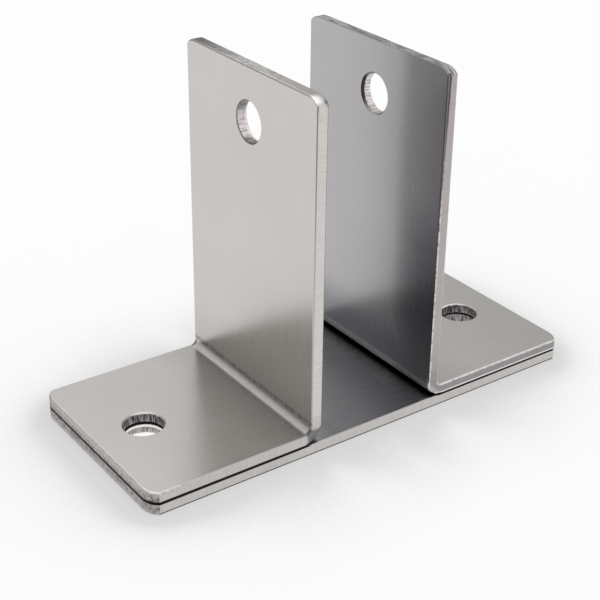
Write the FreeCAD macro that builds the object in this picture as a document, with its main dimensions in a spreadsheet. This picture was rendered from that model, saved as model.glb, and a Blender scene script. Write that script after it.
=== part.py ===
# Two-ear wall bracket for a partition panel, in three pieces of stainless strip:
# a flat base plate, and two bent angles spot welded on its ends, whose upright
# ears stand on either side of the panel. Millimetres. The origin is under the
# middle of the base plate. +X runs along the bracket, +Y across it to the rear
# edge, and +Z away from the wall.
import FreeCAD, Part
import math
import os
import Sketcher

os.makedirs("parts", exist_ok=True)

doc = FreeCAD.newDocument("WallBracket")

# The driving sizes, each with what it measures
SIZES = (
    ("base_length", 121.2, "base plate, end to end"),
    ("strip_width", 50.8, "all three pieces, front to rear"),
    ("plate_thickness", 2.8, "base plate"),
    ("angle_thickness", 2.8, "both angles"),
    ("slot_width", 32.0, "between the ears, for the panel"),
    ("overall_height", 85.6, "from the wall to the tops of the ears"),
    ("bend_radius", 1.4, "inside of the angles' bend"),
    ("screw_hole_diameter", 9.5, "through each foot and the plate"),
    ("screw_inset", 12.7, "screw hole from the end of the foot"),
    ("bolt_hole_diameter", 9.5, "through each ear"),
    ("bolt_inset", 12.7, "bolt hole from the top of the ear"),
    ("foot_corner_radius", 5.0, "cut-off die, at the ends of the feet and the plate"),
    ("ear_corner_radius", 4.0, "cut-off die, at the tops of the ears"),
    ("die_overlap", 0.9, "the die past each side of the strip"),
    ("die_roll", 0.5, "rounded edge on the side that the punch entered"),
    ("burr_break", 0.2, "broken edge on the other side"),
    ("hole_chamfer", 0.3, "broken rim of every hole"),
    ("side_draw", 0.6, "how far the bend draws the strip's sides in"),
    ("neutral_share", 0.4, "share of the thickness inside the bend's neutral line"),
)

sheet = doc.addObject("Spreadsheet::Sheet", "Sizes")
for row, (alias, size, meaning) in enumerate(SIZES, start=1):
    sheet.set(f"A{row}", meaning)
    sheet.set(f"B{row}", str(size))
    sheet.setAlias(f"B{row}", alias)
doc.recompute()

# Sizes worked out from those, as formulas that the features share
HALF_LENGTH = "Sizes.base_length / 2"
HALF_WIDTH = "Sizes.strip_width / 2"
HALF_SLOT = "Sizes.slot_width / 2"
FOOT_BOTTOM = "Sizes.plate_thickness"
FOOT_TOP = "(Sizes.plate_thickness + Sizes.angle_thickness)"
EAR_BACK = "(Sizes.slot_width / 2 + Sizes.angle_thickness)"
EAR_TOP = "Sizes.overall_height"
OUTER_BEND = "(Sizes.bend_radius + Sizes.angle_thickness)"
NEUTRAL_BEND = "(Sizes.bend_radius + Sizes.neutral_share * Sizes.angle_thickness)"
DIE_HALF_WIDTH = "(Sizes.strip_width / 2 + Sizes.die_overlap)"
WASTE = "(Sizes.foot_corner_radius + Sizes.ear_corner_radius)"


def number(formula):
    """A formula's value as the sheet stands."""
    return float(sheet.evalExpression(formula))


def new_sketch(body, name, plane):
    """A sketch on one of the body's own origin planes."""
    sketch = body.newObject("Sketcher::SketchObject", name)
    planes = {entry.Role: entry for entry in body.Origin.OriginFeatures}
    sketch.AttachmentSupport = [(planes[plane], "")]
    sketch.MapMode = "FlatFace"
    return sketch


def pin(sketch, kind, geometry, end, formula):
    """Hold a point of the sketch at a formula's distance from the origin."""
    size = number(formula)
    ends = (-1, 1, geometry, end)
    if size < 0:
        ends = (geometry, end, -1, 1)
        formula = f"-1 * ({formula})"
    index = sketch.addConstraint(Sketcher.Constraint(kind, *ends, abs(size)))
    sketch.setExpression(f"Constraints[{index}]", formula)


def draw_outline(sketch, corners):
    """A closed outline. Each corner is its x and y and, where it is round, its radius."""
    places = [FreeCAD.Vector(number(x), number(y), 0) for x, y, radius in corners]
    radii = [number(radius) if radius else 0.0 for x, y, radius in corners]
    count = len(corners)
    runs = [(places[(i + 1) % count] - places[i]).normalize() for i in range(count)]
    lines = []
    for i in range(count):
        start = places[i] + runs[i] * radii[i]
        stop = places[(i + 1) % count] - runs[i] * radii[(i + 1) % count]
        lines.append(sketch.addGeometry(Part.LineSegment(start, stop)))
    for i, (x, y, radius) in enumerate(corners):
        if not radius:
            sketch.addConstraint(Sketcher.Constraint("Coincident", lines[i - 1], 2, lines[i], 1))
            continue
        before, after = runs[i - 1], runs[i]
        left_turn = before.cross(after).z > 0
        centre = places[i] + (after - before) * radii[i]
        first = math.atan2(-after.y, -after.x)
        last = math.atan2(before.y, before.x)
        if not left_turn:
            first, last = last, first
        circle = Part.Circle(centre, FreeCAD.Vector(0, 0, 1), radii[i])
        arc = sketch.addGeometry(Part.ArcOfCircle(circle, first, last))
        head, tail = (1, 2) if left_turn else (2, 1)
        sketch.addConstraint(Sketcher.Constraint("Tangent", lines[i - 1], 2, arc, head))
        sketch.addConstraint(Sketcher.Constraint("Tangent", arc, tail, lines[i], 1))
        index = sketch.addConstraint(Sketcher.Constraint("Radius", arc, radii[i]))
        sketch.setExpression(f"Constraints[{index}]", radius)
    for i, (x, y, radius) in enumerate(corners):
        following = corners[(i + 1) % count]
        if abs(runs[i].x) < 1e-9:
            sketch.addConstraint(Sketcher.Constraint("Vertical", lines[i]))
            pin(sketch, "DistanceX", lines[i], 1, x)
        elif abs(runs[i].y) < 1e-9:
            sketch.addConstraint(Sketcher.Constraint("Horizontal", lines[i]))
            pin(sketch, "DistanceY", lines[i], 1, y)
        else:
            pin(sketch, "DistanceX", lines[i], 1, x)
            pin(sketch, "DistanceX", lines[i], 2, following[0])


def draw_circle(sketch, x, y, diameter):
    """A hole's circle, with its centre on the strip's middle line where x or y is None."""
    centre = FreeCAD.Vector(number(x) if x else 0, number(y) if y else 0, 0)
    circle = Part.Circle(centre, FreeCAD.Vector(0, 0, 1), number(diameter) / 2)
    geometry = sketch.addGeometry(circle)
    index = sketch.addConstraint(Sketcher.Constraint("Diameter", geometry, number(diameter)))
    sketch.setExpression(f"Constraints[{index}]", diameter)
    for kind, axis, formula in (("DistanceX", -2, x), ("DistanceY", -1, y)):
        if formula:
            pin(sketch, kind, geometry, 3, formula)
        else:
            sketch.addConstraint(Sketcher.Constraint("PointOnObject", geometry, 3, axis))


def cut_through(body, sketch, name):
    """A pocket right through the body, both ways from its sketch."""
    doc.recompute()
    before = body.Tip.Shape.Volume
    pocket = body.newObject("PartDesign::Pocket", name)
    pocket.Profile = sketch
    pocket.Type = "ThroughAll"
    pocket.SideType = "Symmetric"
    doc.recompute()
    if pocket.Shape.Volume > before - 0.01:
        raise RuntimeError(f"{name} cuts nothing")
    return pocket


def dress_edges(body, kind, name, size, chosen):
    """A fillet or chamfer on the edges of the body for which chosen(edge) is true."""
    doc.recompute()
    tip = body.Tip
    names = [f"Edge{i}" for i, edge in enumerate(tip.Shape.Edges, start=1) if chosen(edge)]
    dressed = body.newObject(f"PartDesign::{kind}", name)
    dressed.Base = (tip, names)
    dressed.setExpression({"Fillet": "Radius", "Chamfer": "Size"}[kind], size)
    doc.recompute()


def cut_off_waste(sketch, end, upright):
    """What the cut-off die leaves outside its round corners, at one end of the strip."""
    inner, outer = f"{end} - 2 * {WASTE}", f"{end} + {WASTE}"
    side, beyond = DIE_HALF_WIDTH, f"({DIE_HALF_WIDTH} + {WASTE})"
    corner = "Sizes.ear_corner_radius" if upright else "Sizes.foot_corner_radius"
    corners = [
        (inner, f"-{side}", None),
        (end, f"-{side}", corner),
        (end, side, corner),
        (inner, side, None),
        (inner, beyond, None),
        (outer, beyond, None),
        (outer, f"-{beyond}", None),
        (inner, f"-{beyond}", None),
    ]
    if upright:
        corners = [(y, x, radius) for x, y, radius in corners]
    draw_outline(sketch, corners)


def is_hole_rim(edge):
    """Whether an edge is a full circle."""
    return isinstance(edge.Curve, Part.Circle) and edge.isClosed()


def middle(edge):
    """The point halfway along an edge."""
    return edge.valueAt((edge.FirstParameter + edge.LastParameter) / 2)


def near(a, b):
    """Whether two lengths are the same."""
    return abs(a - b) < 1e-4


def make_base_plate():
    """The flat plate against the wall, cut off with the same die at both ends."""
    body = doc.addObject("PartDesign::Body", "base_plate")
    body.Label = "base_plate"

    blank = new_sketch(body, "plate_strip", "XY_Plane")
    end = f"({HALF_LENGTH} + {WASTE} / 2)"
    draw_outline(blank, [
        (f"-{end}", f"-({HALF_WIDTH})", None),
        (end, f"-({HALF_WIDTH})", None),
        (end, HALF_WIDTH, None),
        (f"-{end}", HALF_WIDTH, None),
    ])
    strip = body.newObject("PartDesign::Pad", "plate_blank")
    strip.Profile = blank
    strip.setExpression("Length", "Sizes.plate_thickness")

    waste = new_sketch(body, "plate_end_waste", "XY_Plane")
    cut_off_waste(waste, HALF_LENGTH, upright=False)
    cut_off = cut_through(body, waste, "plate_cut_off")

    screw = new_sketch(body, "plate_screw_hole", "XY_Plane")
    draw_circle(screw, f"{HALF_LENGTH} - Sizes.screw_inset", None, "Sizes.screw_hole_diameter")
    punched = cut_through(body, screw, "plate_punched")

    ends = body.newObject("PartDesign::Mirrored", "plate_both_ends")
    ends.Originals = [cut_off, punched]
    ends.MirrorPlane = (waste, ["V_Axis"])
    body.Tip = ends
    doc.recompute()
    hole = math.pi * number("Sizes.screw_hole_diameter") ** 2 / 4
    solid = number("Sizes.base_length * Sizes.strip_width") - 2 * hole
    if ends.Shape.Volume > solid * number("Sizes.plate_thickness"):
        raise RuntimeError("the plate's other end isn't cut")

    top = number("Sizes.plate_thickness")
    dress_edges(body, "Chamfer", "plate_rims", "Sizes.hole_chamfer", is_hole_rim)
    for name, height, radius in (
        ("plate_top_edges", top, "Sizes.die_roll"),
        ("plate_bottom_edges", 0.0, "Sizes.burr_break"),
    ):
        dress_edges(
            body, "Fillet", name, radius,
            lambda edge: near(edge.BoundBox.ZMin, height)
            and near(edge.BoundBox.ZMax, height)
            and not is_hole_rim(edge),
        )
    return body


def make_angle(label, turn):
    """A bent angle: its foot lies on the plate and its ear stands beside the slot.

    Both angles are the same piece, drawn here on the +X side and turned about Z.
    """
    body = doc.addObject("PartDesign::Body", label)
    body.Label = label

    section = new_sketch(body, f"{label}_section", "XZ_Plane")
    foot_end = f"({HALF_LENGTH} + {WASTE} / 2)"
    ear_end = f"({EAR_TOP} + {WASTE} / 2)"
    draw_outline(section, [
        (HALF_SLOT, FOOT_BOTTOM, OUTER_BEND),
        (foot_end, FOOT_BOTTOM, None),
        (foot_end, FOOT_TOP, None),
        (EAR_BACK, FOOT_TOP, "Sizes.bend_radius"),
        (EAR_BACK, ear_end, None),
        (HALF_SLOT, ear_end, None),
    ])
    strip = body.newObject("PartDesign::Pad", f"{label}_blank")
    strip.Profile = section
    strip.SideType = "Symmetric"
    strip.setExpression("Length", "Sizes.strip_width")

    foot_waste = new_sketch(body, f"{label}_foot_waste", "XY_Plane")
    cut_off_waste(foot_waste, HALF_LENGTH, upright=False)
    cut_through(body, foot_waste, f"{label}_foot_cut_off")
    ear_waste = new_sketch(body, f"{label}_ear_waste", "YZ_Plane")
    cut_off_waste(ear_waste, EAR_TOP, upright=True)
    cut_through(body, ear_waste, f"{label}_ear_cut_off")

    screw = new_sketch(body, f"{label}_screw_hole", "XY_Plane")
    draw_circle(screw, f"{HALF_LENGTH} - Sizes.screw_inset", None, "Sizes.screw_hole_diameter")
    cut_through(body, screw, f"{label}_screw_punched")
    bolt = new_sketch(body, f"{label}_bolt_hole", "YZ_Plane")
    draw_circle(bolt, None, f"{EAR_TOP} - Sizes.bolt_inset", "Sizes.bolt_hole_diameter")
    cut_through(body, bolt, f"{label}_bolt_punched")

    draw_in_sides(body, label)
    round_sheared_edges(body, label)
    body.Placement = FreeCAD.Placement(
        FreeCAD.Vector(0, 0, 0), FreeCAD.Rotation(FreeCAD.Vector(0, 0, 1), turn)
    )
    return body


def draw_in_sides(body, label):
    """The bend stretches its outside, which draws the strip's two sides in there."""
    sketch = new_sketch(body, f"{label}_drawn_sides", "YZ_Plane")
    # Across the bend: y runs from the bend's centre out through its corner
    outward = FreeCAD.Rotation(FreeCAD.Vector(1, 0, 0), 225)
    sketch.AttachmentOffset = FreeCAD.Placement(FreeCAD.Vector(0, 0, 0), outward)
    sketch.setExpression("AttachmentOffset.Base.y", f"{FOOT_BOTTOM} + {OUTER_BEND}")
    sketch.setExpression("AttachmentOffset.Base.z", f"{HALF_SLOT} + {OUTER_BEND}")
    for sign in ("-", ""):
        side = f"{sign}({HALF_WIDTH})"
        drawn = f"{sign}({HALF_WIDTH} - 2 * Sizes.side_draw)"
        outside = f"{sign}({HALF_WIDTH} + {WASTE})"
        surface = f"({OUTER_BEND} + ({OUTER_BEND} - {NEUTRAL_BEND}))"
        draw_outline(sketch, [
            (side, NEUTRAL_BEND, None),
            (drawn, surface, None),
            (outside, surface, None),
            (outside, NEUTRAL_BEND, None),
        ])
    cut_through(body, sketch, f"{label}_drawn_in")


def round_sheared_edges(body, label):
    """Rounded edges on the side that the punch entered, broken ones on the other."""
    half_slot, ear_back = number(HALF_SLOT), number(EAR_BACK)
    foot_bottom, foot_top = number(FOOT_BOTTOM), number(FOOT_TOP)
    outer_bend, inner_bend = number(OUTER_BEND), number("Sizes.bend_radius")
    bend_x, bend_z = half_slot + outer_bend, foot_bottom + outer_bend

    def on_skin(point, ear_x, foot_z, radius):
        """Whether a point lies on the foot's, bend's or ear's face on one side."""
        if point.x < bend_x and point.z < bend_z:
            return abs(math.hypot(point.x - bend_x, point.z - bend_z) - radius) < 1e-3
        return near(point.x, ear_x) or near(point.z, foot_z)

    def is_bend_line(edge):
        """Whether an edge is only where the bend meets the flat."""
        box = edge.BoundBox
        across = near(box.XLength, 0) and near(box.ZLength, 0)
        at_bend = near(box.XMin, bend_x) or near(box.ZMin, bend_z)
        return across and at_bend

    def outline_of(ear_x, foot_z, radius):
        """A test for the outline edges of one side of the sheet."""
        def chosen(edge):
            ends = [vertex.Point for vertex in edge.Vertexes]
            points = ends + [middle(edge)]
            if is_hole_rim(edge) or is_bend_line(edge):
                return False
            return all(on_skin(point, ear_x, foot_z, radius) for point in points)
        return chosen

    dress_edges(body, "Chamfer", f"{label}_rims", "Sizes.hole_chamfer", is_hole_rim)
    dress_edges(
        body, "Fillet", f"{label}_rolled_edges", "Sizes.die_roll",
        outline_of(ear_back, foot_top, inner_bend),
    )
    dress_edges(
        body, "Fillet", f"{label}_broken_edges", "Sizes.burr_break",
        outline_of(half_slot, foot_bottom, outer_bend),
    )


bodies = [make_base_plate(), make_angle("right_angle", 0), make_angle("left_angle", 180)]
doc.recompute()

for item in doc.Objects:
    if "Invalid" in item.State or "Error" in item.State:
        raise RuntimeError(f"{item.Label} failed: {item.State}")
for body in bodies:
    if body.Shape.isNull() or not body.Shape.isValid() or len(body.Shape.Solids) != 1:
        raise RuntimeError(f"{body.Label} isn't one valid solid")
for body in bodies:
    body.Shape.exportStep(f"parts/{body.Label}.step")
    print(body.Label, round(body.Shape.Volume, 2), body.Shape.BoundBox)
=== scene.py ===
# Dresses the wall bracket's solids in brushed stainless steel, and lights them softly
# over a plain white floor.
import math

import bmesh
import bpy
from mathutils import Matrix, Vector

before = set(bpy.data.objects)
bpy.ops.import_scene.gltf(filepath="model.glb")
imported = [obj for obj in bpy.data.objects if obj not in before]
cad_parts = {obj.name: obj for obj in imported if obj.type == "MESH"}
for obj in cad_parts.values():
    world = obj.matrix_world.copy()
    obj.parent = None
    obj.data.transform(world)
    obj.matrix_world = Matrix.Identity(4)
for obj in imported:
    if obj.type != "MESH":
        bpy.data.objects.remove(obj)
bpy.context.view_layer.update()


# Base plate
# The flat strip that goes against the wall. It is 2.8 mm stainless sheet, slit to width
# and brushed along its length, then cut off and punched, which leaves dull sheared walls.

def linear(hex_colour):
    """An sRGB hex colour as the linear RGBA that a socket takes."""
    channels = [int(hex_colour[i:i + 2], 16) / 255 for i in (1, 3, 5)]
    curved = [c / 12.92 if c <= 0.04045 else ((c + 0.055) / 1.055) ** 2.4 for c in channels]
    return (*curved, 1.0)


def add(tree, kind, inputs=None, **settings):
    """Add a node with its settings. An input is a value, an output, or a node's first output."""
    node = tree.nodes.new(kind)
    for name, setting in settings.items():
        setattr(node, name, setting)
    for name, source in (inputs or {}).items():
        if isinstance(source, bpy.types.Node):
            source = source.outputs[0]
        if isinstance(source, bpy.types.NodeSocket):
            tree.links.new(source, node.inputs[name])
        else:
            node.inputs[name].default_value = source
    return node


def flat_strip(tree, x, y, z):
    """The base plate is flat: along, across, and up from the middle of its thickness."""
    half_thickness = 1.4
    across = add(tree, "ShaderNodeMath", {0: y, 1: -1.0}, operation="MULTIPLY")
    through = add(tree, "ShaderNodeMath", {0: z, 1: half_thickness}, operation="SUBTRACT")
    return x, across, through


def brushed_stainless(name, unroll, between_ends, face_tones):
    """Satin brushed stainless steel, with dull sheared walls at its edges and holes.

    unroll gives a point's place on the strip as it was before bending, in millimetres:
    along it, across it, and through it from the middle of the sheet. The slit edges lie
    25.4 mm from the middle across, and the faces 1.4 mm from it through. between_ends is
    the stretch along the strip that keeps clear of its two cut-off ends. face_tones are
    the two colours that the brush marks vary between.
    """
    material = bpy.data.materials.new(name)
    material.use_nodes = True
    tree = material.node_tree
    tree.nodes.clear()

    place = add(tree, "ShaderNodeTexCoord").outputs["Object"]
    in_mm = add(tree, "ShaderNodeVectorMath", {0: place, "Scale": 1000.0}, operation="SCALE")
    x, y, z = add(tree, "ShaderNodeSeparateXYZ", {0: in_mm}).outputs
    along, across, through = unroll(tree, x, y, z)
    strip = add(tree, "ShaderNodeCombineXYZ", {0: along, 1: across, 2: through})

    # Brush marks: streaks 0.3 mm wide and some centimetres long. The real ones are finer
    # than the render can show.
    streaked = add(tree, "ShaderNodeMapping", {0: strip, "Scale": (0.03, 3.3, 0.03)})
    grain = add(
        tree, "ShaderNodeTexNoise",
        {"Vector": streaked, "Scale": 1.0, "Detail": 3.0, "Roughness": 0.6},
    )
    # Clouding: slow changes of the brushed finish, some 25 mm across
    clouds = add(tree, "ShaderNodeTexNoise", {"Vector": strip, "Scale": 0.04, "Detail": 2.0})

    # Sheared walls begin where the surface has left both faces of the sheet
    off_middle = add(tree, "ShaderNodeMath", {0: through}, operation="ABSOLUTE")
    sheared = add(
        tree, "ShaderNodeMapRange",
        {"Value": off_middle, "From Min": 1.26, "From Max": 1.12, "To Min": 0.0, "To Max": 1.0},
    )
    # One slit edge is burnished by the knife, the other is torn and dull
    slit_edge = 24.9
    torn = add(tree, "ShaderNodeMath", {0: across, 1: -slit_edge}, operation="LESS_THAN")
    # On the ear the tear runs in under the slot side, deeper towards the top
    tear = add(
        tree, "ShaderNodeMapRange",
        {"Value": along, "From Min": 20.0, "From Max": 80.0, "To Min": -1.35, "To Max": -0.1},
    )
    ragged = add(tree, "ShaderNodeTexNoise", {"Vector": strip, "Scale": 0.8, "Detail": 3.0})
    depth = add(tree, "ShaderNodeMath", {0: ragged, 1: 1.2, 2: through}, operation="MULTIPLY_ADD")
    torn_depth = add(
        tree, "ShaderNodeMath", {0: ragged, 1: 0.5, 2: through}, operation="MULTIPLY_ADD",
    )
    torn_depth = add(tree, "ShaderNodeMath", {0: torn_depth, 1: tear}, operation="SUBTRACT")
    pit = add(
        tree, "ShaderNodeMapRange",
        {"Value": torn_depth, "From Min": -0.3, "From Max": 0.0, "To Min": 1.0, "To Max": 0.0},
    )
    pit = add(tree, "ShaderNodeMath", {0: pit, 1: torn}, operation="MULTIPLY")
    # Hole walls are the sheared ones away from the strip's own outline
    off_sides = add(tree, "ShaderNodeMath", {0: across, 1: 0.0, 2: 12.0}, operation="COMPARE")
    first, last = between_ends
    off_ends = add(
        tree, "ShaderNodeMath", {0: along, 1: (first + last) / 2, 2: (last - first) / 2},
        operation="COMPARE",
    )
    punched = add(tree, "ShaderNodeMath", {0: off_sides, 1: off_ends}, operation="MULTIPLY")
    low_down = add(tree, "ShaderNodeMath", {0: z, 1: 10.0}, operation="LESS_THAN")
    left = add(tree, "ShaderNodeMath", {0: x, 1: 0.0}, operation="LESS_THAN")
    out = add(tree, "ShaderNodeMath", {0: x}, operation="ABSOLUTE")
    off_face = add(tree, "ShaderNodeMath", {0: off_middle, 1: 1.38}, operation="LESS_THAN")
    # The die leaves the two ends rougher and darker than the slit sides
    sides = add(tree, "ShaderNodeMath", {0: across}, operation="ABSOLUTE")
    slit = add(tree, "ShaderNodeMath", {0: sides, 1: 24.4}, operation="GREATER_THAN")
    at_end = add(tree, "ShaderNodeMath", {0: off_ends, 1: -1.0, 2: 1.0}, operation="MULTIPLY_ADD")
    at_corner = add(
        tree, "ShaderNodeMapRange",
        {"Value": sides, "From Min": 25.395, "From Max": 25.39, "To Min": 0.0, "To Max": 1.0},
    )
    at_corner = add(tree, "ShaderNodeMath", {0: at_corner, 1: at_end}, operation="MULTIPLY")
    slit = add(
        tree, "ShaderNodeMath", {0: slit, 1: at_corner}, operation="SUBTRACT", use_clamp=True,
    )
    # The broken edges of the torn side, the feet's ends and the screw holes carry a painted
    # highlight
    rim = add(tree, "ShaderNodeMath", {0: off_middle, 1: 1.2, 2: 0.18}, operation="COMPARE")
    painted_edge_highlight = add(tree, "ShaderNodeMath", {0: punched, 1: at_end}, operation="MAXIMUM")
    painted_edge_highlight = add(tree, "ShaderNodeMath", {0: painted_edge_highlight, 1: low_down}, operation="MULTIPLY")
    painted_edge_highlight = add(tree, "ShaderNodeMath", {0: torn, 1: painted_edge_highlight}, operation="MAXIMUM")
    painted_edge_highlight = add(tree, "ShaderNodeMath", {0: rim, 1: painted_edge_highlight}, operation="MULTIPLY")
    patchy = add(
        tree, "ShaderNodeMapRange",
        {"Value": ragged, "From Min": 0.4, "From Max": 0.56, "To Min": 0.25, "To Max": 0.85},
    )
    painted_edge_highlight = add(tree, "ShaderNodeMath", {0: painted_edge_highlight, 1: patchy}, operation="MULTIPLY")
    # The outside of the bend is stretched, and its drawn-in sides are grey and grainy; the grey is
    # a painted dark reflection
    drawn_sides_dark_reflection = add(
        tree, "ShaderNodeMapRange",
        {"Value": sides, "From Min": 25.36, "From Max": 25.2, "To Min": 0.0, "To Max": 1.0},
    )
    # On the plate the same place along the strip is its middle, which bent leaves out
    bent = add(tree, "ShaderNodeMath", {0: out, 1: 10.0}, operation="GREATER_THAN")
    bend_middle = -2.2
    in_bend = add(tree, "ShaderNodeMath", {0: along, 1: bend_middle, 2: 3.2}, operation="COMPARE")
    in_bend = add(tree, "ShaderNodeMath", {0: in_bend, 1: bent}, operation="MULTIPLY")
    off_bend = add(tree, "ShaderNodeMath", {0: along, 1: bend_middle}, operation="SUBTRACT")
    off_bend = add(tree, "ShaderNodeMath", {0: off_bend}, operation="ABSOLUTE")
    outer = add(tree, "ShaderNodeMath", {0: through, 1: 0.3}, operation="LESS_THAN")
    for mask in (in_bend, outer, slit):
        drawn_sides_dark_reflection = add(tree, "ShaderNodeMath", {0: drawn_sides_dark_reflection, 1: mask}, operation="MULTIPLY")
    # Scores that the punch leaves through the sheet, 0.4 mm apart
    scored = add(tree, "ShaderNodeMapping", {0: strip, "Scale": (2.5, 2.5, 0.35)})
    scores = add(
        tree, "ShaderNodeTexNoise",
        {"Vector": scored, "Scale": 1.0, "Detail": 3.0, "Roughness": 0.65},
    )

    # Colours of the two faces, first the brushed outside
    outside = add(
        tree, "ShaderNodeMixRGB",
        {"Fac": grain, "Color1": linear(face_tones[0]), "Color2": linear(face_tones[1])},
    )
    # Painted shade darkens the outside within 15 mm of the bend
    painted_bend_shade = add(
        tree, "ShaderNodeMapRange", {"Value": off_bend, "From Min": 3.0, "From Max": 15.0},
    )
    painted_bend_shade = add(tree, "ShaderNodeMath", {0: painted_bend_shade, 1: bent}, operation="SUBTRACT")
    painted_bend_shade = add(tree, "ShaderNodeMath", {0: painted_bend_shade, 1: 1.0}, operation="ADD", use_clamp=True)
    painted_bend_shade = add(
        tree, "ShaderNodeMixRGB",
        {"Fac": painted_bend_shade, "Color1": linear("#EDEDED"), "Color2": linear("#FFFFFF")},
    )
    outside = add(
        tree, "ShaderNodeMixRGB", {"Fac": 1.0, "Color1": outside, "Color2": painted_bend_shade},
        blend_type="MULTIPLY",
    )
    # The ear is darker in mottled streaks just above the bend
    dark_mottle_above_bend = add(tree, "ShaderNodeMath", {0: along, 1: 1.0, 2: 0.6}, operation="COMPARE")
    dark_mottle_above_bend = add(tree, "ShaderNodeMath", {0: dark_mottle_above_bend, 1: bent}, operation="MULTIPLY")
    streak = add(
        tree, "ShaderNodeMapRange",
        {"Value": ragged, "From Min": 0.4, "From Max": 0.6, "To Min": 0.2, "To Max": 0.75},
    )
    dark_mottle_above_bend = add(tree, "ShaderNodeMath", {0: dark_mottle_above_bend, 1: streak}, operation="MULTIPLY")
    outside = add(
        tree, "ShaderNodeMixRGB", {"Fac": dark_mottle_above_bend, "Color1": outside, "Color2": linear("#7C7774")},
    )
    # The slot side is left as it came from the mill, greyer and darker
    slot_side = add(
        tree, "ShaderNodeMixRGB",
        {"Fac": grain, "Color1": linear("#B3B1B2"), "Color2": linear("#BFBDBE")},
    )
    upper = add(tree, "ShaderNodeMath", {0: z, 1: 2.7}, operation="GREATER_THAN")
    # On the left ear it is darker still
    left_slot = add(tree, "ShaderNodeMath", {0: left, 1: upper}, operation="MULTIPLY")
    slot_side = add(
        tree, "ShaderNodeMixRGB",
        {"Fac": left_slot, "Color1": slot_side, "Color2": linear("#9C9A9B")},
    )
    # On both ears it has painted shade, darkest low down and at the front
    painted_slot_shade = add(
        tree, "ShaderNodeMapRange",
        {"Value": y, "From Min": -8.0, "From Max": -14.0, "To Min": 0.0, "To Max": 0.28},
        interpolation_type="SMOOTHSTEP",
    )
    painted_low_front_shade = add(
        tree, "ShaderNodeMapRange",
        {"Value": y, "From Min": -9.0, "From Max": -20.0, "To Min": 0.0, "To Max": 0.28},
        interpolation_type="SMOOTHSTEP",
    )
    lower_half = add(
        tree, "ShaderNodeMapRange",
        {"Value": z, "From Min": 42.0, "From Max": 54.0, "To Min": 1.0, "To Max": 0.0},
    )
    painted_slot_shade = add(
        tree, "ShaderNodeMath", {0: painted_low_front_shade, 1: lower_half, 2: painted_slot_shade},
        operation="MULTIPLY_ADD",
    )
    # Painted shade also lies just above the bend
    painted_shade_above_bend = add(
        tree, "ShaderNodeMapRange",
        {"Value": z, "From Min": 9.0, "From Max": 22.0, "To Min": 0.5, "To Max": 0.0},
        interpolation_type="SMOOTHSTEP",
    )
    off_turn = add(tree, "ShaderNodeMapRange", {"Value": z, "From Min": 5.8, "From Max": 7.5})
    painted_shade_above_bend = add(
        tree, "ShaderNodeMath", {0: painted_shade_above_bend, 1: off_turn}, operation="MULTIPLY",
    )
    painted_slot_shade = add(tree, "ShaderNodeMath", {0: painted_slot_shade, 1: painted_shade_above_bend}, operation="MAXIMUM")
    painted_slot_shade = add(tree, "ShaderNodeMath", {0: painted_slot_shade, 1: upper}, operation="MULTIPLY")
    slot_side = add(
        tree, "ShaderNodeMixRGB",
        {"Fac": painted_slot_shade, "Color1": slot_side, "Color2": linear("#444250")},
    )
    milled = add(tree, "ShaderNodeMath", {0: through, 1: -1.1}, operation="LESS_THAN")
    # The bend is matt where the tool pressed it, and painted pale as a wide highlight
    bend = add(
        tree, "ShaderNodeMapRange",
        {"Value": off_bend, "From Min": 1.3, "From Max": 2.2, "To Min": 1.0, "To Max": 0.0},
    )
    bend = add(tree, "ShaderNodeMath", {0: bend, 1: bent}, operation="MULTIPLY")
    outside = add(
        tree, "ShaderNodeMixRGB", {"Fac": bend, "Color1": outside, "Color2": linear("#D6D3D0")},
    )
    face = add(
        tree, "ShaderNodeMixRGB", {"Fac": milled, "Color1": outside, "Color2": slot_side},
    )
    clouded = add(
        tree, "ShaderNodeMixRGB",
        {"Fac": clouds, "Color1": linear("#F4F4F4"), "Color2": linear("#FFFFFF")},
    )
    face = add(
        tree, "ShaderNodeMixRGB", {"Fac": 1.0, "Color1": face, "Color2": clouded},
        blend_type="MULTIPLY",
    )
    # Colours of the slit walls, of which the torn one is dull and darkest low down
    wall = add(
        tree, "ShaderNodeMixRGB",
        {"Fac": scores, "Color1": linear("#BEBAB6"), "Color2": linear("#E6E3E0")},
    )
    dull = add(
        tree, "ShaderNodeMixRGB",
        {"Fac": scores, "Color1": linear("#A09A98"), "Color2": linear("#C6C0BE")},
    )
    dark_torn = add(
        tree, "ShaderNodeMixRGB",
        {"Fac": scores, "Color1": linear("#8A8588"), "Color2": linear("#B7B2B4")},
    )
    rise = add(tree, "ShaderNodeMapRange", {"Value": z, "From Min": 5.0, "From Max": 20.0})
    dull = add(tree, "ShaderNodeMixRGB", {"Fac": rise, "Color1": dark_torn, "Color2": dull})
    wall = add(tree, "ShaderNodeMixRGB", {"Fac": torn, "Color1": wall, "Color2": dull})
    # Pits of the cut-off ends, about 1 mm apart
    pitted = add(
        tree, "ShaderNodeTexNoise",
        {"Vector": strip, "Scale": 1.1, "Detail": 4.0, "Roughness": 0.7},
    )
    pitted = add(
        tree, "ShaderNodeMapRange", {"Value": pitted, "From Min": 0.35, "From Max": 0.6},
    )
    # The ears' tops are smoother, dark at the rear and pale in the middle
    towards_rear = add(tree, "ShaderNodeMapRange", {"Value": y, "From Min": 3.0, "From Max": 22.0})
    towards_front = add(
        tree, "ShaderNodeMapRange", {"Value": y, "From Min": -4.0, "From Max": -20.0},
    )
    die_cut = add(
        tree, "ShaderNodeMixRGB",
        {"Fac": pitted, "Color1": linear("#A5A2A0"), "Color2": linear("#DEDBD9")},
    )
    die_cut = add(
        tree, "ShaderNodeMixRGB",
        {"Fac": towards_front, "Color1": die_cut, "Color2": linear("#B8B5B3")},
    )
    die_cut = add(
        tree, "ShaderNodeMixRGB",
        {"Fac": towards_rear, "Color1": die_cut, "Color2": linear("#757573")},
    )
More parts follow.
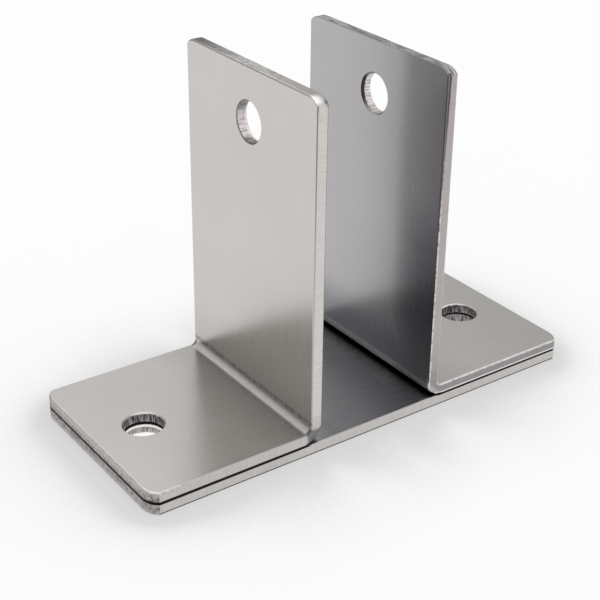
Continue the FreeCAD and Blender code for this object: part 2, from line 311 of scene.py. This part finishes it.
    # The right ear's top is streaked along its length, with a dark burr on its slot side
    streaks = add(tree, "ShaderNodeMapping", {0: strip, "Scale": (0.2, 0.25, 2.2)})
    streaks = add(tree, "ShaderNodeTexNoise", {"Vector": streaks, "Scale": 1.0, "Detail": 3.0})
    streaks = add(
        tree, "ShaderNodeMapRange", {"Value": streaks, "From Min": 0.38, "From Max": 0.62},
    )
    streaks = add(
        tree, "ShaderNodeMixRGB",
        {"Fac": streaks, "Color1": linear("#858281"), "Color2": linear("#CFCCCB")},
    )
    burr = add(
        tree, "ShaderNodeMapRange",
        {"Value": depth, "From Min": -0.55, "From Max": -0.25, "To Min": 0.85, "To Max": 0.0},
    )
    streaks = add(
        tree, "ShaderNodeMixRGB",
        {"Fac": burr, "Color1": streaks, "Color2": linear("#4A4647")},
    )
    die_cut = add(
        tree, "ShaderNodeMixRGB", {"Fac": left, "Color1": streaks, "Color2": die_cut},
    )
    # The feet's ends are rough, and most so at their corners
    worst = add(tree, "ShaderNodeMapRange", {"Value": sides, "From Min": 19.0, "From Max": 23.0})
    pits = add(
        tree, "ShaderNodeMixRGB",
        {"Fac": worst, "Color1": linear("#726D6C"), "Color2": linear("#4A4443")},
    )
    rough_cut = add(
        tree, "ShaderNodeMixRGB", {"Fac": pitted, "Color1": pits, "Color2": linear("#BBB6B4")},
    )
    # Away from the seam they are paler, but less so at the corners
    foot_top = add(tree, "ShaderNodeMapRange", {"Value": z, "From Min": 3.4, "From Max": 4.6})
    plate_bottom = add(tree, "ShaderNodeMapRange", {"Value": z, "From Min": 1.5, "From Max": 0.5})
    off_seam_pale = add(tree, "ShaderNodeMath", {0: foot_top, 1: plate_bottom}, operation="MAXIMUM")
    how_pale = add(tree, "ShaderNodeMath", {0: worst, 1: -0.55, 2: 0.8}, operation="MULTIPLY_ADD")
    off_seam_pale = add(tree, "ShaderNodeMath", {0: off_seam_pale, 1: how_pale}, operation="MULTIPLY")
    rough_cut = add(
        tree, "ShaderNodeMixRGB",
        {"Fac": off_seam_pale, "Color1": rough_cut, "Color2": linear("#C6C2C0")},
    )
    die_cut = add(
        tree, "ShaderNodeMixRGB", {"Fac": low_down, "Color1": die_cut, "Color2": rough_cut},
    )
    wall = add(tree, "ShaderNodeMixRGB", {"Fac": slit, "Color1": die_cut, "Color2": wall})
    # The punch has galled the screw holes dark, but for the plate's left one, which is only
    # scuffed. The ears' holes are galled at the top, and the left one at the bottom too.
    deep = add(
        tree, "ShaderNodeMapRange", {"Value": scores, "From Min": 0.42, "From Max": 0.58},
    )
    galled = add(
        tree, "ShaderNodeMixRGB",
        {"Fac": deep, "Color1": linear("#3C3638"), "Color2": linear("#A8A1A2")},
    )
    scuffed = add(
        tree, "ShaderNodeMixRGB",
        {"Fac": deep, "Color1": linear("#7A7476"), "Color2": linear("#CCC7C5")},
    )
    clean = add(
        tree, "ShaderNodeMixRGB",
        {"Fac": deep, "Color1": linear("#B9B2B1"), "Color2": linear("#EDE8E6")},
    )
    in_foot = add(tree, "ShaderNodeMath", {0: z, 1: 4.3, 2: 1.6}, operation="COMPARE")
    in_left_plate = add(tree, "ShaderNodeMath", {0: left, 1: in_foot}, operation="SUBTRACT")
    low_bore = add(
        tree, "ShaderNodeMixRGB", {"Fac": in_left_plate, "Color1": galled, "Color2": scuffed},
    )
    top_and_bottom = add(
        tree, "ShaderNodeMapRange",
        {"Value": sides, "From Min": 1.4, "From Max": 2.6, "To Min": 0.75, "To Max": 0.0},
    )
    below = add(tree, "ShaderNodeMath", {0: along, 1: 65.9}, operation="LESS_THAN")
    below = add(tree, "ShaderNodeMath", {0: below, 1: left}, operation="SUBTRACT", use_clamp=True)
    top_and_bottom = add(
        tree, "ShaderNodeMath", {0: top_and_bottom, 1: below}, operation="SUBTRACT",
        use_clamp=True,
    )
    ear_bore = add(
        tree, "ShaderNodeMixRGB", {"Fac": top_and_bottom, "Color1": clean, "Color2": galled},
    )
    bore = add(
        tree, "ShaderNodeMixRGB", {"Fac": low_down, "Color1": ear_bore, "Color2": low_bore},
    )
    # The strip's own walls are a little grimed low down
    grimed = add(
        tree, "ShaderNodeMixRGB",
        {"Fac": low_down, "Color1": linear("#FFFFFF"), "Color2": linear("#F1F1F1")},
    )
    wall = add(
        tree, "ShaderNodeMixRGB", {"Fac": 1.0, "Color1": wall, "Color2": grimed},
        blend_type="MULTIPLY",
    )
    wall = add(tree, "ShaderNodeMixRGB", {"Fac": punched, "Color1": wall, "Color2": bore})
    # Faces and walls together, with the marks laid over them
    colour = add(tree, "ShaderNodeMixRGB", {"Fac": sheared, "Color1": face, "Color2": wall})
    # Painted dark reflection on the bend's drawn-in sides
    colour = add(
        tree, "ShaderNodeMixRGB", {"Fac": drawn_sides_dark_reflection, "Color1": colour, "Color2": linear("#B9B5B6")},
    )
    # On the left angle the drawn-in sides carry a darker painted reflection, right through the
    # sheet
    painted_neck_reflection = add(
        tree, "ShaderNodeMapRange",
        {"Value": off_bend, "From Min": 1.3, "From Max": 2.3, "To Min": 0.95, "To Max": 0.0},
    )
    for mask in (slit, left, bent):
        painted_neck_reflection = add(tree, "ShaderNodeMath", {0: painted_neck_reflection, 1: mask}, operation="MULTIPLY")
    colour = add(
        tree, "ShaderNodeMixRGB", {"Fac": painted_neck_reflection, "Color1": colour, "Color2": linear("#7B7A7E")},
    )
    # Painted highlight on the broken edges
    colour = add(
        tree, "ShaderNodeMixRGB", {"Fac": painted_edge_highlight, "Color1": colour, "Color2": linear("#E4E1DF")},
    )
    # The plate's left hole keeps a bright burnished band where the punch went in
    burnished = add(tree, "ShaderNodeMath", {0: z, 1: 2.05, 2: 0.35}, operation="COMPARE")
    for mask in (left, punched):
        burnished = add(tree, "ShaderNodeMath", {0: burnished, 1: mask}, operation="MULTIPLY")
    colour = add(
        tree, "ShaderNodeMixRGB",
        {"Fac": burnished, "Color1": colour, "Color2": linear("#F6F3F1")},
    )
    # The left ear's hole has a painted dark reflection on its rim outside, the right one's a wide
    # painted dark ring on its slot side
    painted_dark_ring = add(
        tree, "ShaderNodeMapRange",
        {"Value": depth, "From Min": -0.1, "From Max": 0.15, "To Min": 0.95, "To Max": 0.0},
    )
    broad = add(
        tree, "ShaderNodeMapRange",
        {"Value": sides, "From Min": 1.2, "From Max": 4.0, "To Min": 0.15, "To Max": 1.0},
    )
    painted_dark_ring = add(tree, "ShaderNodeMath", {0: painted_dark_ring, 1: broad}, operation="MULTIPLY")
    rim_outside = add(tree, "ShaderNodeMath", {0: through, 1: 1.1}, operation="GREATER_THAN")
    rim_outside = add(tree, "ShaderNodeMath", {0: rim_outside, 1: 0.6}, operation="MULTIPLY")
    painted_dark_ring = add(tree, "ShaderNodeMix", {0: left, 2: painted_dark_ring, 3: rim_outside}, data_type="FLOAT")
    for mask in (off_face, punched):
        painted_dark_ring = add(tree, "ShaderNodeMath", {0: painted_dark_ring, 1: mask}, operation="MULTIPLY")
    painted_dark_ring = add(
        tree, "ShaderNodeMath", {0: painted_dark_ring, 1: low_down}, operation="SUBTRACT", use_clamp=True,
    )
    colour = add(
        tree, "ShaderNodeMixRGB", {"Fac": painted_dark_ring, "Color1": colour, "Color2": linear("#352F31")},
    )
    # The left ear's hole is burnished on its slot side
    bright = add(
        tree, "ShaderNodeMapRange",
        {"Value": depth, "From Min": -0.35, "From Max": 0.0, "To Min": 0.9, "To Max": 0.0},
    )
    for mask in (off_face, punched, left):
        bright = add(tree, "ShaderNodeMath", {0: bright, 1: mask}, operation="MULTIPLY")
    bright = add(
        tree, "ShaderNodeMath", {0: bright, 1: low_down}, operation="SUBTRACT", use_clamp=True,
    )
    colour = add(
        tree, "ShaderNodeMixRGB", {"Fac": bright, "Color1": colour, "Color2": linear("#F8F6F5")},
    )
    # The knife leaves a dark line along the other slit edge, strongest high on the ear
    line = add(tree, "ShaderNodeMath", {0: through, 1: 1.24, 2: 0.1}, operation="COMPARE")
    knife = add(tree, "ShaderNodeMath", {0: across, 1: slit_edge}, operation="GREATER_THAN")
    up_ear = add(
        tree, "ShaderNodeMapRange",
        {"Value": z, "From Min": 30.0, "From Max": 75.0, "To Min": 0.2, "To Max": 0.75},
    )
    for mask in (knife, up_ear):
        line = add(tree, "ShaderNodeMath", {0: line, 1: mask}, operation="MULTIPLY")
    colour = add(
        tree, "ShaderNodeMixRGB", {"Fac": line, "Color1": colour, "Color2": linear("#5F5455")},
    )
    # The tear is grey, with a dark border near the ear's top
    border = add(
        tree, "ShaderNodeMapRange", {"Value": torn_depth, "From Min": -0.6, "From Max": -0.3},
    )
    near_top = add(tree, "ShaderNodeMapRange", {"Value": along, "From Min": 58.0, "From Max": 72.0})
    border = add(tree, "ShaderNodeMath", {0: border, 1: near_top}, operation="MULTIPLY")
    shade = add(
        tree, "ShaderNodeMixRGB",
        {"Fac": border, "Color1": linear("#777375"), "Color2": linear("#2A2628")},
    )
    colour = add(tree, "ShaderNodeMixRGB", {"Fac": pit, "Color1": colour, "Color2": shade})
    # The left ear's top front corner has a painted highlight, with a small dark spot on its slot
    # side
    mid_turn = add(tree, "ShaderNodeMath", {0: along, 1: sides}, operation="SUBTRACT")
    mid_turn = add(tree, "ShaderNodeMath", {0: mid_turn, 1: 53.9}, operation="SUBTRACT")
    mid_turn = add(tree, "ShaderNodeMath", {0: mid_turn}, operation="ABSOLUTE")
    mid_turn = add(
        tree, "ShaderNodeMapRange", {"Value": mid_turn, "From Min": 2.4, "From Max": 0.9},
    )
    inner = add(tree, "ShaderNodeMapRange", {"Value": through, "From Min": -0.8, "From Max": 0.5})
    in_corner = add(tree, "ShaderNodeMath", {0: along, 1: 74.9}, operation="GREATER_THAN")
    at_front = add(tree, "ShaderNodeMath", {0: y, 1: -21.4}, operation="LESS_THAN")
    painted_corner_glint = mid_turn
    for mask in (inner, in_corner, at_front, left, off_face):
        painted_corner_glint = add(tree, "ShaderNodeMath", {0: painted_corner_glint, 1: mask}, operation="MULTIPLY")
    colour = add(
        tree, "ShaderNodeMixRGB", {"Fac": painted_corner_glint, "Color1": colour, "Color2": linear("#FFFEFD")},
    )
    # A small dark spot at the corner's slot side
    dark_spot = add(
        tree, "ShaderNodeVectorMath", {0: in_mm, 1: (-16.2, -24.6, 84.0)}, operation="DISTANCE",
    )
    dark_spot = add(
        tree, "ShaderNodeMapRange",
        {"Value": dark_spot.outputs["Value"], "From Min": 0.5, "From Max": 1.1,
         "To Min": 0.9, "To Max": 0.0},
    )
    colour = add(
        tree, "ShaderNodeMixRGB", {"Fac": dark_spot, "Color1": colour, "Color2": linear("#3A3436")},
    )
    # Dirt and painted shade in the seam between foot and plate, and a painted shadow under the
    # plate's edge on the wall
    seam = add(tree, "ShaderNodeMath", {0: punched, 1: -0.08, 2: 2.88}, operation="MULTIPLY_ADD")
    off_seam = add(tree, "ShaderNodeMath", {0: z, 1: seam}, operation="SUBTRACT")
    off_seam = add(tree, "ShaderNodeMath", {0: off_seam}, operation="ABSOLUTE")
    # The seam's dirt and shade is widest on the left
    narrowing = add(
        tree, "ShaderNodeMapRange",
        {"Value": x, "From Min": -60.0, "From Max": 60.0, "To Min": 0.85, "To Max": 1.05},
    )
    off_seam = add(tree, "ShaderNodeMath", {0: off_seam, 1: narrowing}, operation="MULTIPLY")
    beyond_bend = add(
        tree, "ShaderNodeMapRange", {"Value": out, "From Min": 18.4, "From Max": 19.6},
    )
    seam_dirt_and_shade = add(
        tree, "ShaderNodeMapRange",
        {"Value": off_seam, "From Min": 0.3, "From Max": 0.4, "To Min": 1.0, "To Max": 0.0},
    )
    seam_dirt_and_shade = add(tree, "ShaderNodeMath", {0: seam_dirt_and_shade, 1: beyond_bend}, operation="MULTIPLY")
    # Painted shadow along the bottom of the plate's walls
    painted_shadow_under_edge = add(tree, "ShaderNodeMath", {0: slit, 1: -0.16, 2: z}, operation="MULTIPLY_ADD")
    painted_shadow_under_edge = add(
        tree, "ShaderNodeMapRange",
        {"Value": painted_shadow_under_edge, "From Min": 0.15, "From Max": 0.3, "To Min": 1.0, "To Max": 0.0},
    )
    off_wall = add(tree, "ShaderNodeMath", {0: z, 1: 0.02}, operation="GREATER_THAN")
    painted_shadow_under_edge = add(tree, "ShaderNodeMath", {0: painted_shadow_under_edge, 1: off_wall}, operation="MULTIPLY")
    seam_dirt_and_shade = add(tree, "ShaderNodeMath", {0: seam_dirt_and_shade, 1: painted_shadow_under_edge}, operation="MAXIMUM")
    # On the right a painted highlight runs along the foot's lower rim, just over the seam
    painted_rim_highlight = add(tree, "ShaderNodeMath", {0: z, 1: 3.38, 2: 0.17}, operation="COMPARE")
    painted_rim_highlight = add(tree, "ShaderNodeMath", {0: painted_rim_highlight, 1: torn}, operation="MULTIPLY")
    painted_rim_highlight = add(
        tree, "ShaderNodeMath", {0: painted_rim_highlight, 1: left}, operation="SUBTRACT", use_clamp=True,
    )
    painted_rim_highlight = add(tree, "ShaderNodeMath", {0: painted_rim_highlight, 1: 0.85}, operation="MULTIPLY")
    # Painted shade fills the narrow gap under the bend, too
    painted_gap_shade = add(tree, "ShaderNodeCombineXYZ", {0: out, 1: z})
    painted_gap_shade = add(tree, "ShaderNodeVectorMath", {0: painted_gap_shade, 1: (18.5, 2.8, 0.0)}, operation="DISTANCE")
    painted_gap_shade = add(
        tree, "ShaderNodeMapRange",
        {"Value": painted_gap_shade.outputs["Value"], "From Min": 0.9, "From Max": 2.6,
         "To Min": 0.9, "To Max": 0.0},
        interpolation_type="SMOOTHSTEP",
    )
    flat_face = add(tree, "ShaderNodeMath", {0: sheared, 1: -1.0, 2: 1.0}, operation="MULTIPLY_ADD")
    for mask in (flat_face, upper):
        painted_gap_shade = add(tree, "ShaderNodeMath", {0: painted_gap_shade, 1: mask}, operation="MULTIPLY")
    seam_dirt_and_shade = add(tree, "ShaderNodeMath", {0: seam_dirt_and_shade, 1: painted_gap_shade}, operation="MAXIMUM")
    colour = add(
        tree, "ShaderNodeMixRGB", {"Fac": seam_dirt_and_shade, "Color1": colour, "Color2": linear("#1E1A1B")},
    )
    # The painted highlight on the foot's lower rim
    colour = add(
        tree, "ShaderNodeMixRGB",
        {"Fac": painted_rim_highlight, "Color1": colour, "Color2": linear("#F2EFED")},
    )

    # The faces are satin, the walls rougher and the bend matt
    face_rough = add(
        tree, "ShaderNodeMapRange", {"Value": grain, "To Min": 0.24, "To Max": 0.32},
    )
    wall_rough = add(
        tree, "ShaderNodeMapRange", {"Value": scores, "To Min": 0.35, "To Max": 0.55},
    )
    bend_rough = add(
        tree, "ShaderNodeMapRange", {"Value": ragged, "To Min": 0.6, "To Max": 0.85},
    )
    face_rough = add(
        tree, "ShaderNodeMix", {0: bend, 2: face_rough, 3: bend_rough}, data_type="FLOAT",
    )
    roughness = add(
        tree, "ShaderNodeMix", {0: sheared, 2: face_rough, 3: wall_rough}, data_type="FLOAT",
    )

    # Brush marks and scores are also felt in the surface, very faintly
    relief = add(tree, "ShaderNodeMix", {0: sheared, 2: grain, 3: scores}, data_type="FLOAT")
    bump = add(
        tree, "ShaderNodeBump", {"Height": relief, "Strength": 0.12, "Distance": 0.00003},
    )
    # Brushing spreads reflections across the strip, never along it
    spread = add(tree, "ShaderNodeCombineXYZ", {0: 0.02, 1: 1.0, 2: 0.02})
    shader = add(
        tree, "ShaderNodeBsdfPrincipled",
        {
            "Base Color": colour, "Metallic": 1.0, "Roughness": roughness,
            "Anisotropic": 0.5, "Tangent": spread, "Normal": bump,
        },
    )
    add(tree, "ShaderNodeOutputMaterial", {"Surface": shader})
    return material


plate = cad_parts["base_plate"]
plate.data.materials.clear()
plate.data.materials.append(
    brushed_stainless(
        "plate_brushed_stainless", flat_strip, (-57.6, 57.6), ("#C4C4C7", "#D1D1D5"),
    )
)


# Angles
# Two bent angles of the same strip, spot welded on the plate's ends. They are brushed
# before bending, so the marks run out along the foot, round the bend and up the ear.

def bent_strip(tree, x, y, z):
    """Unrolls an angle, whose bend turns about a line 20.2 mm from the slot's middle, 7 mm up."""
    bend_out = 20.2
    bend_up = 7.0
    middle_radius = 2.8
    out = add(tree, "ShaderNodeMath", {0: x}, operation="ABSOLUTE")
    end = add(tree, "ShaderNodeMath", {0: x}, operation="SIGN")
    across = add(tree, "ShaderNodeMath", {0: y, 1: end}, operation="MULTIPLY")
    beyond = add(tree, "ShaderNodeMath", {0: out, 1: bend_out}, operation="SUBTRACT")
    above = add(tree, "ShaderNodeMath", {0: z, 1: bend_up}, operation="SUBTRACT")
    foot = add(tree, "ShaderNodeMath", {0: beyond, 1: 0.0}, operation="MAXIMUM")
    ear = add(tree, "ShaderNodeMath", {0: above, 1: 0.0}, operation="MAXIMUM")
    inward = add(tree, "ShaderNodeMath", {0: foot, 1: beyond}, operation="SUBTRACT")
    down = add(tree, "ShaderNodeMath", {0: ear, 1: above}, operation="SUBTRACT")
    spoke = add(tree, "ShaderNodeCombineXYZ", {0: inward, 1: down})
    radius = add(tree, "ShaderNodeVectorMath", {0: spoke}, operation="LENGTH").outputs["Value"]
    through = add(tree, "ShaderNodeMath", {0: middle_radius, 1: radius}, operation="SUBTRACT")
    turned = add(tree, "ShaderNodeMath", {0: down, 1: inward}, operation="ARCTAN2")
    flat = add(tree, "ShaderNodeMath", {0: ear, 1: foot}, operation="SUBTRACT")
    along = add(
        tree, "ShaderNodeMath", {0: turned, 1: -middle_radius, 2: flat},
        operation="MULTIPLY_ADD",
    )
    return along, across, through


angle_stainless = brushed_stainless(
    "angle_brushed_stainless", bent_strip, (-37.4, 75.6), ("#C9C6C2", "#D7D4D0"),
)
for name in ("left_angle", "right_angle"):
    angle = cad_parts[name]
    angle.data.materials.clear()
    angle.data.materials.append(angle_stainless)


# Floor
# A plain white sheet, wide enough to fill the view, a hair under the plate so that the two
# faces don't flicker. From below it is clear, so that the underside can be seen.

mesh = bpy.data.meshes.new("floor")
sheet = bmesh.new()
bmesh.ops.create_grid(sheet, x_segments=1, y_segments=1, size=4.0)
sheet.to_mesh(mesh)
sheet.free()
floor = bpy.data.objects.new("floor", mesh)
floor.location.z = -0.0001
bpy.context.scene.collection.objects.link(floor)

matt_white = bpy.data.materials.new("matt_white_floor")
matt_white.use_nodes = True
tree = matt_white.node_tree
tree.nodes.clear()
path = add(tree, "ShaderNodeLightPath").outputs
# The shadow close about the bracket is deeper than such soft light alone gives
shading = add(tree, "ShaderNodeAmbientOcclusion", {"Distance": 0.04}, samples=8).outputs["AO"]
# It deepens sooner on the right, away from the light
place = add(tree, "ShaderNodeTexCoord").outputs["Object"]
rightward = add(tree, "ShaderNodeSeparateXYZ", {0: place}).outputs["X"]
steepness = add(
    tree, "ShaderNodeMapRange",
    {"Value": rightward, "From Min": -0.075, "From Max": 0.05, "To Min": 3.0, "To Max": 3.6},
)
shading = add(tree, "ShaderNodeMath", {0: shading, 1: steepness}, operation="POWER")
# It gets no deeper than this, so that it is even right up to the plate's edge
deepest = 0.74
shading = add(tree, "ShaderNodeMath", {0: shading, 1: deepest}, operation="MAXIMUM")
shading = add(
    tree, "ShaderNodeMix", {0: path["Is Camera Ray"], 2: 1.0, 3: shading}, data_type="FLOAT",
)
# Right under the plate the floor is white, as it shows in the screw holes. The limits lie
# just inside the plate's outline, with a straight cut for each of its corners.
half_length = 0.0602
half_width = 0.0252
corner_cut = 0.0826
from_middle = add(tree, "ShaderNodeVectorMath", {0: place}, operation="ABSOLUTE")
from_middle = add(tree, "ShaderNodeSeparateXYZ", {0: from_middle}).outputs
in_length = add(
    tree, "ShaderNodeMath", {0: from_middle["X"], 1: half_length}, operation="LESS_THAN",
)
in_width = add(
    tree, "ShaderNodeMath", {0: from_middle["Y"], 1: half_width}, operation="LESS_THAN",
)
off_corner = add(
    tree, "ShaderNodeMath", {0: from_middle["X"], 1: from_middle["Y"]}, operation="ADD",
)
off_corner = add(tree, "ShaderNodeMath", {0: off_corner, 1: corner_cut}, operation="LESS_THAN")
under = in_length
for mask in (in_width, off_corner):
    under = add(tree, "ShaderNodeMath", {0: under, 1: mask}, operation="MULTIPLY")
shading = add(tree, "ShaderNodeMath", {0: shading, 1: under}, operation="MAXIMUM")
white = add(
    tree, "ShaderNodeMixRGB",
    {"Fac": 1.0, "Color1": shading, "Color2": linear("#FCFCFC")}, blend_type="MULTIPLY",
)
paint = add(tree, "ShaderNodeBsdfDiffuse", {"Color": white})
glow = add(tree, "ShaderNodeEmission", {"Color": linear("#FFFFFF"), "Strength": shading})
# Where it is seen, straight or mirrored in the steel, most of its white is a glow of its own
seen = path["Is Camera Ray"]
for ray in ("Is Glossy Ray", "Is Transmission Ray"):
    seen = add(tree, "ShaderNodeMath", {0: seen, 1: path[ray]}, operation="MAXIMUM")
share = add(tree, "ShaderNodeMath", {0: under, 1: 0.2, 2: 0.7}, operation="MULTIPLY_ADD")
share = add(tree, "ShaderNodeMath", {0: seen, 1: share}, operation="MULTIPLY")
lit = add(tree, "ShaderNodeMixShader", {0: share, 1: paint, 2: glow})
below = add(tree, "ShaderNodeNewGeometry").outputs["Backfacing"]
clear = add(tree, "ShaderNodeBsdfTransparent")
surface = add(tree, "ShaderNodeMixShader", {0: below, 1: lit, 2: clear})
add(tree, "ShaderNodeOutputMaterial", {"Surface": surface})
floor.data.materials.append(matt_white)


# Studio
# A pale room, brighter overhead and in front, with a window-like patch high behind the
# bracket, a pale wall at its left rear and one large soft box over it.

world = bpy.data.worlds.new("pale_studio")
bpy.context.scene.world = world
world.use_nodes = True
tree = world.node_tree
tree.nodes.clear()
direction = add(tree, "ShaderNodeTexCoord").outputs["Generated"]
window = Vector((0.150, 0.853, 0.5))
towards = add(tree, "ShaderNodeVectorMath", {0: direction, 1: window}, operation="DOT_PRODUCT")
pane = add(
    tree, "ShaderNodeMapRange",
    {"Value": towards.outputs["Value"], "From Min": 0.76, "From Max": 1.02,
     "To Min": 0.0, "To Max": 0.5},
    interpolation_type="SMOOTHSTEP",
)
overhead = Vector((0.0, -0.54, 0.67))
room = add(tree, "ShaderNodeVectorMath", {0: direction, 1: overhead}, operation="DOT_PRODUCT")
room = add(
    tree, "ShaderNodeMath", {0: room.outputs["Value"], 1: 0.45}, operation="ADD", use_clamp=True,
)
level = add(tree, "ShaderNodeMath", {0: pane, 1: room}, operation="ADD")
# The pale wall shows in the ears' rolled edges
side_wall = Vector((-0.68, 0.72, 0.1))
pale_wall = add(
    tree, "ShaderNodeVectorMath", {0: direction, 1: side_wall}, operation="DOT_PRODUCT",
)
pale_wall = add(
    tree, "ShaderNodeMapRange",
    {"Value": pale_wall.outputs["Value"], "From Min": 0.9, "From Max": 0.98,
     "To Min": 0.0, "To Max": 0.28},
    interpolation_type="SMOOTHSTEP",
)
level = add(tree, "ShaderNodeMath", {0: level, 1: pale_wall}, operation="ADD")
# Light from under the floor reaches only the underside
upward = add(tree, "ShaderNodeSeparateXYZ", {0: direction}).outputs["Z"]
from_below = add(
    tree, "ShaderNodeMapRange",
    {"Value": upward, "From Min": -0.05, "From Max": -0.25, "To Min": 0.0, "To Max": 0.7},
)
level = add(tree, "ShaderNodeMath", {0: level, 1: from_below}, operation="MAXIMUM")
sky = add(tree, "ShaderNodeBackground", {"Color": linear("#FFFFFF"), "Strength": level})
add(tree, "ShaderNodeOutputWorld", {"Surface": sky})

lamp = bpy.data.lights.new("overhead_soft_box", "AREA")
lamp.shape = "RECTANGLE"
lamp.size = 0.8
lamp.size_y = 0.8
lamp.energy = 1.1
soft_box = bpy.data.objects.new("overhead_soft_box", lamp)
bpy.context.scene.collection.objects.link(soft_box)
box_place = Vector((0.0, 0.3, 0.95))
soft_box.location = box_place
soft_box.rotation_euler = (-box_place).to_track_quat("-Z", "Y").to_euler()


# Camera
# At the photograph's angle, 27 degrees above the bracket and 38 degrees round to its left,
# with the small roll that it was held at.

lens = bpy.data.cameras.new("camera")
lens.sensor_width = 36.0
lens.lens = 80.985
photo_width = 600
lens.shift_x = -40 / photo_width
lens.shift_y = -10 / photo_width
camera = bpy.data.objects.new("camera", lens)
bpy.context.scene.collection.objects.link(camera)
camera_place = (-0.17121, -0.23277, 0.17622)
turn_to_left = 37.544
tilt_down = 27.406
roll = 1.635
camera.matrix_world = (
    Matrix.Translation(camera_place)
    @ Matrix.Rotation(math.radians(-turn_to_left), 4, "Z")
    @ Matrix.Rotation(math.radians(90 - tilt_down), 4, "X")
    @ Matrix.Rotation(math.radians(roll), 4, "Z")
)
bpy.context.scene.camera = camera
bpy.context.scene.view_settings.view_transform = "Standard"
